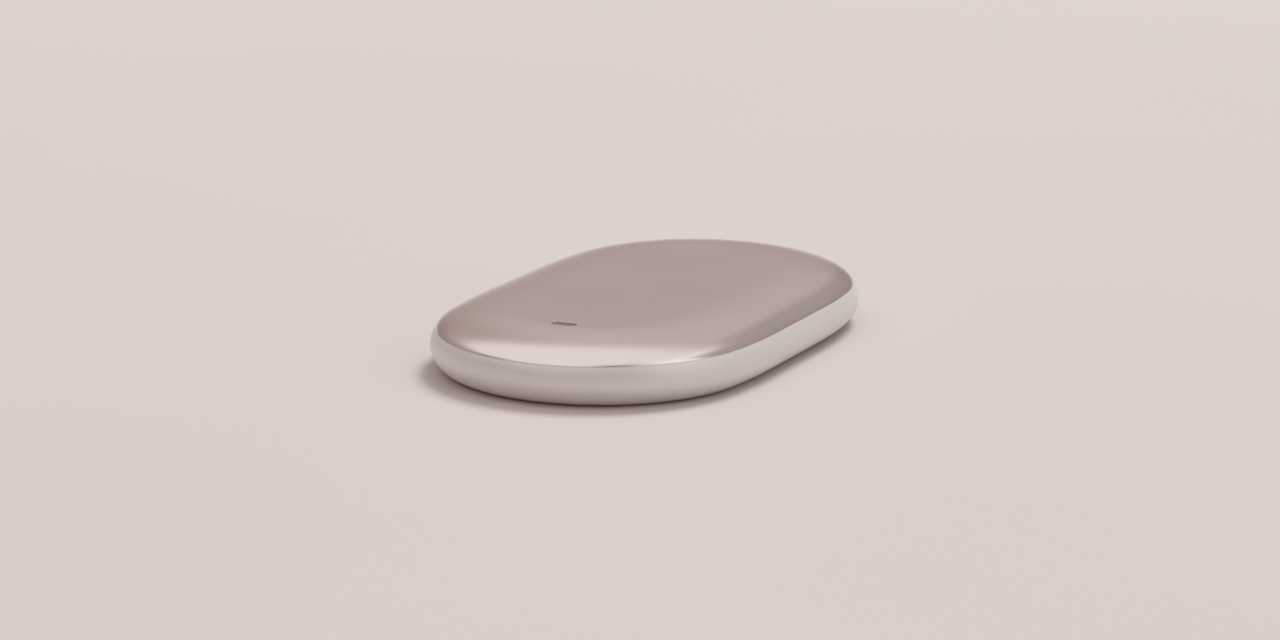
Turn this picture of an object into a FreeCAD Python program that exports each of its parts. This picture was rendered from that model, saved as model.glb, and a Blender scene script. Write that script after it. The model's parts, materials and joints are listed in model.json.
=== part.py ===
import FreeCAD, Part
import math
import os
from FreeCAD import Vector

os.makedirs("parts", exist_ok=True)

# Item tracker tag, in millimetres. +X runs along the length, away from the indicator slot,
# +Z is up, and the origin is the middle of the underside.

# Outer form
body_length = 58.0
body_width = 35.0
shoulder_radius = 55.0      # long gentle arc between the straight side and the round end
end_narrowing = 0.4         # how much smaller the end radius is than half the width
girth_height = 2.7          # height of the widest line, and radius of the full-round side
cover_rise = 2.1            # from the seam up to the flat top
seam_gap = 0.05
seam_chamfer = 0.08
bevel_width = 8.2           # elliptical roll-off from the flat top down to the seam
bevel_start = 8.0           # degrees of the ellipse left out at its foot, which keeps the edge crisp

# Walls, cover lip and seal
cover_roof = 1.0
head_room = 1.1             # from the coin cell up to the ceiling
floor_thickness = 1.1
side_wall = 2.1             # from the widest line to the inner face below the seal shelf
rim_wall = 1.2              # from the widest line to the inner face beside the lip
lip_clearance = 0.1
lip_thickness = 0.6
lip_depth = 0.95
hollow_knee_rise = 0.3      # upright part of the cover's inner side over the seam
hollow_shoulder_run = 2.2   # first slope, from the lip inwards
hollow_shoulder_drop = 0.25 # where the first slope ends, under the ceiling
ceiling_margin = 0.3        # level ceiling beyond the sounder
seal_height = 0.4
seal_side_gap = 0.05

# Catches between cover and shell
catch_reach = 0.22
catch_height = 0.5
catch_width = 4.0
catch_clearance = 0.12
catch_pitch = 13.0

# Coin cell
cell_radius = 10.0
cell_height = 3.2
cell_sheet = 0.25
cell_cap_inset = 1.0        # step from the can's side to the cap's side
cell_cap_proud = 0.25       # height of the cap's face over the can's rim
cell_rounding = 0.3
pellet_gap = 0.3

# Battery hatch
hatch_sink = 0.1            # the hatch lies this far above the underside
hatch_floor = 0.85
pad_thickness = 0.15
pad_edge = 1.5
skirt_clearance = 0.25
skirt_thickness = 0.7
skirt_leaf_gap = 0.1        # from the skirt up to the side contacts
lug_root = 0.2              # how deep a lug starts in the skirt
lug_reach = 0.95
lug_height = 0.55
lug_span = 24.0             # degrees
hatch_starts = 3
thread_lead = 8.0
thread_gap = 0.05
running_gap = 0.15
flange_reach = 1.3          # beyond the lugs
flange_chamfer = 0.15
shoulder_height = 0.4
seal_bed = 0.5              # room for the ring between hatch and shell
hatch_seal_gap = 0.05
hatch_seal_width = 0.5
coin_slot_length = 14.0
coin_slot_width = 1.8
coin_slot_depth = 0.45

# Collar of the shell round the hatch
ledge_lead_in = 10.0        # degrees of ramp before the lug
ledge_thickness = 0.65      # over the recess roof, under the middle of a lug
stop_gap = 1.0              # degrees between a closed lug and its stop
stop_span = 6.0             # degrees
collar_wall = 0.9
collar_step_height = 0.6
collar_top_gap = 0.05
flange_wall = 0.8
screw_bay = 4.75            # from the collar to the inner wall of the +X end

# Main board
board_thickness = 0.6
board_over_cell = 0.05      # board's top face over the cell's cap
board_side_gap = 0.4        # from the lip to the board
board_cell_gap = 0.6
screw_radius = 0.7
screw_head_radius = 1.25
screw_head_height = 0.4
screw_length = 2.4
screw_hole_gap = 0.15
boss_wall = 0.9
boss_root = 0.1
screw_pair_offset = 11.0
screw_pair_from_hatch = 17.0
cross_width = 0.35
cross_depth = 0.2
cross_reach = 0.8

# Floor ribs
rib_width = 0.6
rib_height = 0.5
rib_offset = 6.2

# Indicator: slot, light guide, lamp and light shield
slot_from_end = 9.0
slot_length = 2.7
slot_width = 1.35
guide_recess = 0.12
guide_gap = 0.04
guide_flange = 0.5
guide_flange_height = 0.3
lamp_length = 1.6
lamp_width = 0.8
lamp_height = 0.35
lamp_gap = 0.1
shield_gap = 0.1
shield_wall = 0.55

# Push switch under the cover
switch_side = 3.2
switch_height = 0.55
switch_floor = 0.15
switch_cavity_radius = 1.25
frame_thickness = 0.08
dome_radius = 1.15
dome_flat_radius = 0.45
dome_rise = 0.22
dome_thickness = 0.05
plunger_gap = 0.03
plunger_flange_radius = 1.0
plunger_flange_gap = 0.05   # under the frame
plunger_radius = 0.7
plunger_proud = 0.2
frame_hole_gap = 0.06
press_gap = 0.04
press_nub_radius = 0.9

# Sounder
sounder_radius = 9.4
sounder_plate = 0.15
sounder_ceramic_radius = 6.2
sounder_ceramic = 0.12
sounder_glue = 0.1
sounder_glue_width = 0.9
sounder_switch_gap = 1.8
spring_pitch = 4.4
spring_width = 0.9
spring_sheet = 0.1
spring_foot = 1.8
spring_bend = 0.45
spring_from_rim = 1.3
spring_contact_gap = 0.02

# Battery contacts
contact_sheet = 0.15
arm_width = 3.2
arm_foot = 4.0
arm_bend = 2.0              # slope from the foot up to the knee
arm_slit = 0.8
arm_rise = 0.12
arm_gap = 0.03
arm_tip = 1.6
side_leaf_height = 0.45
side_leaf_radius = 14.0
side_leaf_span = 24.0       # degrees each way
side_leaf_gap = 0.06
side_foot = 1.5

# Antenna
antenna_inset = 3.6
antenna_sheet = 0.15
antenna_height = 0.5
antenna_middle = 180.0      # degrees, the end of the long axis
antenna_reach = 62.0        # degrees each way from there
antenna_foot = 0.9

# Electronics: length, width, height
radio_size = (5.0, 5.0, 0.85)
can_size = (11.0, 9.0, 1.3)
can_collar_gap = 2.85
can_sheet = 0.15
can_rounding = 0.8
motion_size = (2.0, 2.0, 0.9)
motion_offset = 8.2         # from the long axis
crystal_size = (3.2, 2.5, 0.75)
small_crystal_size = (2.0, 1.6, 0.5)
crystal_base = 0.25
crystal_lid_inset = 0.15
reservoir_size = (3.5, 2.8, 1.6)
passive_size = (1.0, 0.5, 0.5)
passive_spacing = 1.9
passive_count = 5           # in each row
passive_cap = 0.25          # length of a metal end
passive_cap_step = 0.04     # how much thicker it is than the body
package_edge = 0.12
package_lead_face = 0.22    # height of a package's lower, square-edged part

# Values that follow from the ones above
half_length = body_length / 2
half_width = body_width / 2
end_radius = half_width - end_narrowing
shoulder_drop = shoulder_radius - half_width
arc_offset = math.sqrt((shoulder_radius - end_radius) ** 2 - shoulder_drop ** 2)
straight_half = half_length - end_radius - arc_offset
joint_angle = math.atan2(shoulder_drop, arc_offset)

hatch_top = hatch_sink + hatch_floor
cell_bottom = hatch_top + pad_thickness
cell_top = cell_bottom + cell_height
board_top = cell_top + board_over_cell
board_bottom = board_top - board_thickness
ceiling = cell_top + head_room
ceiling_edge = half_width - sounder_radius - ceiling_margin
body_height = ceiling + cover_roof

seam_height = body_height - cover_rise
seam_rise = seam_height - girth_height
seam_inset = girth_height - math.sqrt(girth_height ** 2 - seam_rise ** 2)
bevel_end = seam_inset + bevel_width
lip_outer = rim_wall + lip_clearance
lip_inner = lip_outer + lip_thickness
lip_bottom = seam_height + seam_gap - lip_depth
hollow_knee = seam_height + hollow_knee_rise
hollow_shoulder = lip_inner + hollow_shoulder_run
hollow_turn = ceiling - hollow_shoulder_drop
seal_shelf = lip_bottom - seal_height

side_leaf_top = board_bottom - contact_sheet
side_leaf_bottom = side_leaf_top - side_leaf_height
skirt_inner = cell_radius + skirt_clearance
skirt_outer = skirt_inner + skirt_thickness
skirt_top = side_leaf_bottom - skirt_leaf_gap
lug_outer = skirt_outer + lug_reach
pocket_radius = lug_outer + running_gap
ledge_inner = skirt_outer + running_gap
flange_radius = lug_outer + flange_reach
recess_radius = flange_radius + running_gap
recess_roof = hatch_top + seal_bed
collar_outer = pocket_radius + collar_wall
collar_foot = recess_radius + flange_wall
collar_step = recess_roof + collar_step_height
collar_top = skirt_top + collar_top_gap
shoulder_outer = lug_outer
ledge_top = recess_roof + ledge_thickness
lug_bottom = ledge_top + thread_gap
hatch_x = half_length - side_wall - screw_bay - collar_foot

board_inset = lip_inner + board_side_gap
board_opening = cell_radius + board_cell_gap
slot_x = -half_length + slot_from_end
arm_foot_end = hatch_x - board_opening - contact_sheet
arm_foot_start = arm_foot_end - arm_foot
switch_x = (slot_x + arm_foot_start) / 2
sounder_x = switch_x + switch_side / 2 + sounder_switch_gap + sounder_radius
can_x = hatch_x - collar_foot - can_collar_gap - can_size[0] / 2
boss_radius = screw_radius + boss_wall
end_screw_x = half_length - side_wall - screw_bay / 2
pair_screw_x = hatch_x - screw_pair_from_hatch
screw_places = [
    (end_screw_x, 0.0),
    (pair_screw_x, screw_pair_offset),
    (pair_screw_x, -screw_pair_offset),
]

up = Vector(0, 0, 1)
nodes = {}


def outline_arcs():
    """Centre, radius and angles of the pebble outline's six arcs, anticlockwise from +X, -Y."""
    arcs = []
    for sign, turn in ((1, 0.0), (-1, math.pi)):
        side_x = sign * straight_half
        end_x = sign * (straight_half + arc_offset)
        drop = sign * shoulder_drop
        arcs.append((side_x, drop, shoulder_radius, turn - math.pi / 2, turn - joint_angle))
        arcs.append((end_x, 0.0, end_radius, turn - joint_angle, turn + joint_angle))
        arcs.append((side_x, -drop, shoulder_radius, turn + joint_angle, turn + math.pi / 2))
    return arcs


def polar(centre_x, centre_y, radius, angle, height):
    return Vector(centre_x + radius * math.cos(angle), centre_y + radius * math.sin(angle), height)


def outline_wire(inset, height):
    """Pebble outline, drawn in from the widest line by inset: straight sides, shoulders, ends."""
    edges = []
    for x, y, radius, start, stop in outline_arcs():
        angles = (start, (start + stop) / 2, stop)
        points = [polar(x, y, radius - inset, angle, height) for angle in angles]
        edges.append(Part.Arc(*points).toShape())
    for sign in (-1, 1):
        start = Vector(-sign * straight_half, -sign * (half_width - inset), height)
        edges.append(Part.makeLine(start, start + Vector(2 * sign * straight_half, 0, 0)))
    return Part.Wire(Part.__sortEdges__(edges))


def plate(inset, low, high):
    """Flat plate with the pebble outline."""
    return Part.Face(outline_wire(inset, low)).extrude(up * (high - low))


def lines(place, *points):
    """Straight edges through points of a cross-section."""
    places = [place(*point) for point in points]
    return [Part.makeLine(a, b) for a, b in zip(places, places[1:])]


def roll_off(place, edge, edge_height, flat, flat_height):
    """Part of an ellipse, from a steep edge up to a level flat."""
    start = math.radians(bevel_start)
    reach = (flat - edge) / math.cos(start)
    rise = (flat_height - edge_height) / (1 - math.sin(start))
    centre = flat_height - rise
    ellipse = Part.Ellipse(place(flat - reach, centre), place(flat, flat_height), place(flat, centre))
    return ellipse.toShape(start, math.pi / 2)


def band(edges_at_place):
    """A cross-section of (inset, height) points run round the whole outline.

    edges_at_place draws the section's edges with the place it is given, which turns an inset
    and a height into a point where a run of the outline starts.
    """
    def section_face(place):
        return Part.Face(Part.Wire(Part.__sortEdges__(edges_at_place(place))))

    pieces = []
    for x, y, radius, start, stop in outline_arcs():
        def on_arc(inset, height):
            return polar(x, y, radius - inset, start, height)
        turn = math.degrees(stop - start)
        pieces.append(section_face(on_arc).revolve(Vector(x, y, 0), up, turn))
    for sign in (-1, 1):
        def on_side(inset, height):
            return Vector(-sign * straight_half, -sign * (half_width - inset), height)
        pieces.append(section_face(on_side).extrude(Vector(2 * sign * straight_half, 0, 0)))
    return pieces[0].fuse(pieces[1:])


def dome(edge, low, high):
    """Block with a flat top that rolls off to its edge."""
    def edges(place):
        curve = roll_off(place, edge, low, bevel_end, high)
        return [curve] + lines(place, (bevel_end, high), (bevel_end, low), (edge, low))

    return band(edges).fuse(plate(bevel_end, low, high)).removeSplitter()


def disc(radius, low, high, x=0.0, y=0.0):
    return Part.makeCylinder(radius, high - low, Vector(x, y, low))


def ring(outer, inner, low, high, x=0.0, y=0.0):
    return disc(outer, low, high, x, y).cut(disc(inner, low, high, x, y))


def block(length, width, low, high, x=0.0, y=0.0):
    corner = Vector(x - length / 2, y - width / 2, low)
    return Part.makeBox(length, width, high - low, corner)


def slot_block(length, width, low, high, x=0.0, y=0.0):
    """Round-ended block whose long side runs along Y."""
    reach = (length - width) / 2
    middle = block(width, 2 * reach, low, high, x, y)
    ends = [disc(width / 2, low, high, x, y + reach), disc(width / 2, low, high, x, y - reach)]
    return middle.fuse(ends).removeSplitter()


def upright_edges(shape):
    """Vertical edges of a block."""
    found = []
    for edge in shape.Edges:
        box = edge.BoundBox
        if box.XLength < 1e-6 and box.YLength < 1e-6:
            found.append(edge)
    return found


def edges_at(shape, height):
    """Edges that lie flat at a height."""
    found = []
    for edge in shape.Edges:
        box = edge.BoundBox
        if abs(box.ZMin - height) < 1e-6 and abs(box.ZMax - height) < 1e-6:
            found.append(edge)
    return found


def turned(profile, x=0.0, y=0.0):
    """Solid of revolution about a vertical axis, from (radius, height) corners."""
    corners = [Vector(radius, 0, height) for radius, height in profile]
    face = Part.Face(Part.makePolygon(corners + [corners[0]]))
    solid = face.revolve(Vector(0, 0, 0), up, 360)
    solid.translate(Vector(x, y, 0))
    return solid


def at_starts(shape):
    """Copies of a piece at each start of the hatch's thread."""
    copies = []
    for start in range(hatch_starts):
        copy = shape.copy()
        copy.rotate(Vector(0, 0, 0), up, start * 360.0 / hatch_starts)
        copy.translate(Vector(hatch_x, 0, 0))
        copies.append(copy)
    return copies


def thread_piece(inner, outer, low, high, first, last):
    """Part of a thread between two radii and angles; low and high are its heights at angle 0."""
    rise = thread_lead * (last - first) / 360.0
    helix = Part.makeHelix(thread_lead, rise, outer)
    corners = [Vector(inner, 0, low), Vector(outer, 0, low), Vector(outer, 0, high), Vector(inner, 0, high)]
    profile = Part.makePolygon(corners + [corners[0]])
    piece = Part.Wire(helix).makePipeShell([profile], True, True)
    piece.rotate(Vector(0, 0, 0), up, first)
    piece.translate(Vector(0, 0, thread_lead * first / 360.0))
    return piece


def sector(outer, low, high, first, last):
    """Pie slice of a disc."""
    solid = Part.makeCylinder(outer, high - low, Vector(0, 0, low), up, last - first)
    solid.rotate(Vector(0, 0, 0), up, first)
    return solid


def catch_windows(width):
    """Blocks that mark where the catches sit: three along each side and one at each end."""
    tall = 2 * body_height
    windows = []
    for step in (-1, 0, 1):
        for sign in (-1, 1):
            windows.append(block(width, half_width, -tall, tall, step * catch_pitch, sign * half_width))
    for sign in (-1, 1):
        windows.append(block(half_width / 2, width, -tall, tall, sign * half_length, 0.0))
    return Part.makeCompound(windows)


def catch_level():
    """Middle height of the catches, halfway down the lip."""
    return (lip_bottom + seam_height) / 2


def cover_hollow():
    """Room under the cover, down to the foot of its lip, with sloping flats under the roll-off."""
    def edges(place):
        return lines(place, (ceiling_edge, ceiling), (ceiling_edge, lip_bottom), (lip_inner, lip_bottom),
                     (lip_inner, hollow_knee), (hollow_shoulder, hollow_turn), (ceiling_edge, ceiling))

    return band(edges).fuse(plate(ceiling_edge, lip_bottom, ceiling)).removeSplitter()


def make_cover():
    outer = dome(seam_inset, seam_height + seam_gap, body_height)
    inner = cover_hollow()
    lip = plate(lip_outer, lip_bottom, seam_height + 2 * seam_gap)
    cover = outer.fuse(lip).cut(inner)
    level = catch_level()
    root = lip_outer + lip_thickness / 2
    tip = lip_outer - catch_reach

    def hook_edges(place):
        low = (root, level - catch_height / 2)
        return lines(place, low, (tip, level), (root, level + catch_height / 2), low)

    cover = cover.fuse(band(hook_edges).common(catch_windows(catch_width)))
    nub_low = plunger_top() + press_gap
    cover = cover.fuse(disc(press_nub_radius, nub_low, ceiling + seam_gap, switch_x))
    slot = slot_block(slot_length, slot_width, ceiling - seam_gap, body_height + seam_gap, slot_x)
    return cover.cut(slot).removeSplitter()


def make_shell_body():
    """Tray with a rounded side, a rim for the lip, a shelf for the seal and pockets for the catches."""
    top = seam_height
    chamfer_foot = top - seam_chamfer
    chamfer_inset = girth_height - math.sqrt(girth_height ** 2 - (chamfer_foot - girth_height) ** 2)

    def edges(place):
        side = Part.Arc(place(girth_height, 0.0), place(0.0, girth_height),
                        place(chamfer_inset, chamfer_foot)).toShape()
        return [side] + lines(place, (chamfer_inset, chamfer_foot), (seam_inset + seam_chamfer, top),
                              (bevel_end, top), (bevel_end, 0.0), (girth_height, 0.0))

    body = band(edges).fuse(plate(bevel_end, 0.0, top))
    hollow = plate(side_wall, floor_thickness, seal_shelf)
    rim = plate(rim_wall, seal_shelf, top)
    body = body.cut(hollow.fuse(rim))
    level = catch_level()
    reach = rim_wall - catch_reach
    low = level - catch_height / 2 - catch_clearance
    high = level + catch_height / 2 + catch_clearance
    pockets = plate(reach, low, high).cut(plate(lip_outer, low, high))
    return body.cut(pockets.common(catch_windows(catch_width + 2 * catch_clearance)))


def make_collar():
    """Threaded collar: a stepped ring with helical ledges and a stop at the high end of each."""
    step = ring(collar_foot, pocket_radius, 0.0, collar_step, hatch_x)
    wall = ring(collar_outer, pocket_radius, recess_roof, collar_top, hatch_x)
    collar = step.fuse(wall)
    half = lug_span / 2
    end = half + stop_gap
    tall = collar_top - recess_roof
    ledge = thread_piece(ledge_inner, pocket_radius, ledge_top - tall, ledge_top,
                         -half - ledge_lead_in, end)
    keep = ring(pocket_radius, ledge_inner, recess_roof, collar_top)
    ledge = ledge.common(keep)
    stop = sector(pocket_radius, recess_roof, collar_top, end, end + stop_span).common(keep)
    collar = collar.fuse(at_starts(ledge.fuse(stop)))
    return collar.cut(disc(recess_radius, 0.0, recess_roof, hatch_x))


def make_shell():
    shell = make_shell_body()
    shell = shell.cut(disc(recess_radius, -seam_gap, floor_thickness + seam_gap, hatch_x))
    shell = shell.fuse(make_collar())
    bosses = []
    for x, y in screw_places:
        bosses.append(disc(boss_radius, floor_thickness - boss_root, board_bottom, x, y))
    shell = shell.fuse(bosses)
    rib_end = hatch_x - collar_foot
    rib_start = slot_x - rib_width
    ribs = []
    for sign in (-1, 1):
        length = rib_end - rib_start
        ribs.append(block(length, rib_width, floor_thickness - boss_root, floor_thickness + rib_height,
                          rib_start + length / 2, sign * rib_offset))
    ribs.append(block(rib_width, 2 * rib_offset, floor_thickness - boss_root,
                      floor_thickness + rib_height, slot_x))
    shell = shell.fuse(ribs)
    shell = shell.cut(disc(pocket_radius, floor_thickness, collar_top + rib_height, hatch_x).common(
        disc(ledge_inner, floor_thickness, collar_top + rib_height, hatch_x)))
    for x, y in screw_places:
        low = board_top - screw_length
        shell = shell.cut(disc(screw_radius, low, board_bottom, x, y))
    return shell.removeSplitter()


def make_perimeter_seal():
    outer = rim_wall + seal_side_gap
    inner = side_wall - seal_side_gap
    return plate(outer, seal_shelf, lip_bottom).cut(plate(inner, seal_shelf, lip_bottom))


def make_hatch():
    flange = disc(flange_radius, hatch_sink, hatch_top, hatch_x)
    flange = flange.makeChamfer(flange_chamfer, edges_at(flange, hatch_sink))
    shoulder = ring(shoulder_outer, skirt_inner, hatch_top, hatch_top + shoulder_height, hatch_x)
    skirt = ring(skirt_outer, skirt_inner, hatch_top, skirt_top, hatch_x)
    hatch = flange.fuse([shoulder, skirt])
    half = lug_span / 2
    lug = thread_piece(skirt_outer - lug_root, lug_outer, lug_bottom,
                       lug_bottom + lug_height, -half, half)
    hatch = hatch.fuse(at_starts(lug))
    slot = slot_block(coin_slot_length, coin_slot_width, 0.0, hatch_sink + coin_slot_depth, hatch_x)
    return hatch.cut(slot).removeSplitter()


def make_hatch_seal():
    """Square-cut ring that lies on the hatch's flange, round its shoulder."""
    inner = shoulder_outer + hatch_seal_gap
    low = hatch_top
    return ring(inner + hatch_seal_width, inner, low, recess_roof - hatch_seal_gap, hatch_x)


def make_cell():
    """Coin cell: a pressed can, an insulating gasket, a cap and the pellet between them."""
    rim = cell_top - cell_cap_proud
    can_wall = cell_radius - cell_sheet
    cap_radius = cell_radius - cell_cap_inset
    floor = cell_bottom + cell_sheet
    can = turned([(0, cell_bottom), (cell_radius - cell_rounding, cell_bottom),
                  (cell_radius, cell_bottom + cell_rounding), (cell_radius, rim), (can_wall, rim),
                  (can_wall, floor), (0, floor)], hatch_x)
    gasket = ring(can_wall, cap_radius, floor, rim, hatch_x)
    cap_inner = cap_radius - cell_sheet
    cap_roof = cell_top - cell_sheet
    cap = turned([(cap_radius, floor), (cap_radius, cell_top - cell_rounding),
                  (cap_radius - cell_rounding, cell_top), (0, cell_top), (0, cap_roof),
                  (cap_inner, cap_roof), (cap_inner, floor)], hatch_x)
    pellet = disc(cap_inner - pellet_gap, floor, cap_roof - pellet_gap, hatch_x)
    return can, gasket, cap, pellet


def make_board():
    board = plate(board_inset, board_bottom, board_top)
    board = board.cut(disc(board_opening, board_bottom, board_top, hatch_x))
    for x, y in screw_places:
        board = board.cut(disc(screw_radius + screw_hole_gap, board_bottom, board_top, x, y))
    return board


def make_screws():
    screws = []
    for x, y in screw_places:
        head = disc(screw_head_radius, board_top, board_top + screw_head_height, x, y)
        top = board_top + screw_head_height
        for along, across in ((2 * cross_reach, cross_width), (cross_width, 2 * cross_reach)):
            head = head.cut(block(along, across, top - cross_depth, top, x, y))
        shank = disc(screw_radius, board_top - screw_length, board_top, x, y)
        screws.append(head.fuse(shank).removeSplitter())
    return Part.makeCompound(screws)


def plunger_base():
    """Underside of the plunger's flange, just above the dome."""
    return board_top + switch_floor + dome_rise + plunger_gap


def plunger_top():
    return board_top + switch_height + frame_thickness + plunger_proud


def make_switch():
    floor = board_top + switch_floor
    top = board_top + switch_height
    base = block(switch_side, switch_side, board_top, top, switch_x)
    base = base.makeChamfer(package_edge, upright_edges(base))
    base = base.cut(disc(switch_cavity_radius, floor, top, switch_x))
    frame = block(switch_side, switch_side, top, top + frame_thickness, switch_x)
    frame = frame.makeChamfer(package_edge, upright_edges(frame))
    frame = frame.cut(disc(plunger_radius + frame_hole_gap, top, top + frame_thickness, switch_x))
    crown = floor + dome_rise
    slope = dome_radius - dome_flat_radius
    shift = dome_thickness * math.hypot(slope, dome_rise - dome_thickness) / slope
    dome_piece = turned([(0, crown), (dome_flat_radius, crown), (dome_radius, floor + shift),
                         (dome_radius, floor), (dome_flat_radius, crown - shift), (0, crown - shift)],
                        switch_x)
    low = plunger_base()
    flange = disc(plunger_flange_radius, low, top - plunger_flange_gap, switch_x)
    stem = disc(plunger_radius, low, plunger_top(), switch_x)
    stem = stem.makeChamfer(package_edge, edges_at(stem, plunger_top()))
    return base, frame, dome_piece, flange.fuse(stem).removeSplitter()


def make_sounder():
    plate_top = ceiling - sounder_glue
    plate_low = plate_top - sounder_plate
    glue = ring(sounder_radius, sounder_radius - sounder_glue_width, plate_top, ceiling, sounder_x)
    brass = disc(sounder_radius, plate_low, plate_top, sounder_x)
    ceramic = disc(sounder_ceramic_radius, plate_low - sounder_ceramic, plate_low, sounder_x)
    return glue, brass, ceramic


def strip(points, sheet, width, y):
    """Bent strip of sheet metal; the points are its outer face in XZ, the metal lies to their left."""
    normals = []
    for start, stop in zip(points, points[1:]):
        run = math.hypot(stop[0] - start[0], stop[1] - start[1])
        normals.append(((start[1] - stop[1]) / run, (stop[0] - start[0]) / run))
    inner = []
    for number, point in enumerate(points):
        before = normals[max(number - 1, 0)]
        after = normals[min(number, len(normals) - 1)]
        mitre = 1 + before[0] * after[0] + before[1] * after[1]
        inner.append((point[0] + sheet * (before[0] + after[0]) / mitre,
                      point[1] + sheet * (before[1] + after[1]) / mitre))
    corners = [Vector(x, y - width / 2, z) for x, z in points + inner[::-1]]
    return Part.Face(Part.makePolygon(corners + [corners[0]])).extrude(Vector(0, width, 0))


def make_sounder_springs():
    """Two sheet springs on the board: one reaches the brass plate, one the ceramic face."""
    plate_low = ceiling - sounder_glue - sounder_plate
    ceramic_low = plate_low - sounder_ceramic
    rim = sounder_x - sounder_radius + spring_from_rim
    face = sounder_x - sounder_ceramic_radius + spring_from_rim
    springs = []
    for y, x, height in ((-spring_pitch, rim, plate_low), (spring_pitch, face, ceramic_low)):
        tip = height - spring_contact_gap
        middle = (board_top + tip) / 2
        points = [(x + spring_foot, tip), (x + spring_bend, tip), (x, middle),
                  (x + spring_bend, board_top), (x + spring_foot, board_top)]
        springs.append(strip(points, spring_sheet, spring_width, y))
    return Part.makeCompound(springs)


def make_negative_contact():
    """Forked spring arm on the board that bears on the middle of the cell's cap."""
    arm_start = arm_foot_end + arm_bend
    tip = hatch_x + arm_tip
    knee = board_top + arm_rise
    points = [(arm_foot_start, board_top), (arm_foot_end, board_top), (arm_start, knee),
              (hatch_x, cell_top + arm_gap), (tip, knee)]
    arm = strip(points, contact_sheet, arm_width, 0.0)
    slit = block(tip + arm_tip - arm_start, arm_slit, 0.0, body_height, (tip + arm_tip + arm_start) / 2)
    return arm.cut(slit)


def make_positive_contacts():
    """Bowed leaves that press on the can's side, each with two feet under the board."""
    leaves = []
    touch = cell_radius + side_leaf_gap
    for sign in (-1, 1):
        centre_y = sign * (touch + side_leaf_radius)
        leaf = ring(side_leaf_radius, side_leaf_radius - contact_sheet, side_leaf_bottom, board_bottom)
        half = side_leaf_radius * math.sin(math.radians(side_leaf_span))
        window = block(2 * half, side_leaf_radius, side_leaf_bottom, board_bottom, 0.0,
                       -sign * side_leaf_radius)
        leaf = leaf.common(window)
        leaf.translate(Vector(hatch_x, centre_y, 0))
        drop = side_leaf_radius * math.cos(math.radians(side_leaf_span))
        foot_y = centre_y - sign * drop
        for end in (-1, 1):
            foot = block(side_foot, side_foot, side_leaf_top, board_bottom, hatch_x + end * half,
                         foot_y + sign * side_foot / 2)
            leaf = leaf.fuse(foot)
        leaves.append(leaf.removeSplitter())
    return Part.makeCompound(leaves)


def make_antenna():
    """Stamped strip that follows the rounded end, with three feet on the board."""
    outer = end_radius - antenna_inset
    centre_x = -(straight_half + arc_offset)
    top = board_top + antenna_height
    wall = ring(outer, outer - antenna_sheet, board_top, top)
    wall = wall.common(sector(outer + antenna_inset, board_top, top,
                              antenna_middle - antenna_reach, antenna_middle + antenna_reach))
    for step in (-1, 0, 1):
        turn = antenna_middle + step * (antenna_reach - 4 * antenna_foot)
        foot = block(antenna_foot + antenna_sheet, antenna_foot, board_top,
                     board_top + antenna_sheet, outer - (antenna_foot + antenna_sheet) / 2)
        foot.rotate(Vector(0, 0, 0), up, turn)
        wall = wall.fuse(foot)
    wall.translate(Vector(centre_x, 0, 0))
    return wall.common(plate(antenna_inset, board_top, top)).removeSplitter()


def make_light_guide():
    low = board_top + lamp_height + lamp_gap
    stem = slot_block(slot_length - 2 * guide_gap, slot_width - 2 * guide_gap, low,
                      body_height - guide_recess, slot_x)
    flange = slot_block(slot_length + 2 * guide_flange, slot_width + 2 * guide_flange,
                        ceiling - guide_flange_height, ceiling, slot_x)
    return stem.fuse(flange.common(cover_hollow())).removeSplitter()


def make_lamp():
    base = block(lamp_width, lamp_length, board_top, board_top + lamp_height / 2, slot_x)
    lens = block(lamp_width, lamp_length - 2 * package_edge, board_top + lamp_height / 2,
                 board_top + lamp_height, slot_x)
    lens = lens.makeChamfer(package_edge / 2, edges_at(lens, board_top + lamp_height))
    return base.fuse(lens).removeSplitter()


def make_light_shield():
    length = slot_length + 2 * (guide_flange + shield_gap)
    width = slot_width + 2 * (guide_flange + shield_gap)
    outer = slot_block(length + 2 * shield_wall, width + 2 * shield_wall, board_top, ceiling, slot_x)
    return outer.cut(slot_block(length, width, board_top, ceiling, slot_x)).common(cover_hollow())


def package(size, x, y, low, turned_over):
    """Moulded chip body with chamfered upright edges and a step at its lead face."""
    length, width, height = size
    if turned_over:
        base_low = low + height - package_lead_face
        base = block(length, width, base_low, low + height, x, y)
        body = block(length, width, low, base_low, x, y)
        body = body.makeChamfer(package_edge, upright_edges(body) + edges_at(body, low))
    else:
        base = block(length, width, low, low + package_lead_face, x, y)
        body = block(length, width, low + package_lead_face, low + height, x, y)
        body = body.makeChamfer(package_edge, upright_edges(body) + edges_at(body, low + height))
    return base.fuse(body).removeSplitter()


def crystal(size, x, y):
    """Metal-lidded crystal under the board: a ceramic base and a smaller lid."""
    length, width, height = size
    base = block(length, width, board_bottom - crystal_base, board_bottom, x, y)
    lid = block(length - 2 * crystal_lid_inset, width - 2 * crystal_lid_inset,
                board_bottom - height, board_bottom - crystal_base, x, y)
    lid = lid.makeFillet(2 * crystal_lid_inset, upright_edges(lid))
    return base.fuse(lid)


def passive(x, y, low, along_x):
    """Chip capacitor with a metal cap at each end, a touch taller than its body."""
    length, width, height = passive_size
    pieces = [block(length - 2 * passive_cap, width - 2 * passive_cap_step, low,
                    low + height - passive_cap_step)]
    for sign in (-1, 1):
        pieces.append(block(passive_cap, width, low, low + height, sign * (length - passive_cap) / 2))
    solid = pieces[0].fuse(pieces[1:]).removeSplitter()
    if not along_x:
        solid.rotate(Vector(0, 0, 0), up, 90)
    solid.translate(Vector(x, y, 0))
    return solid


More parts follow.
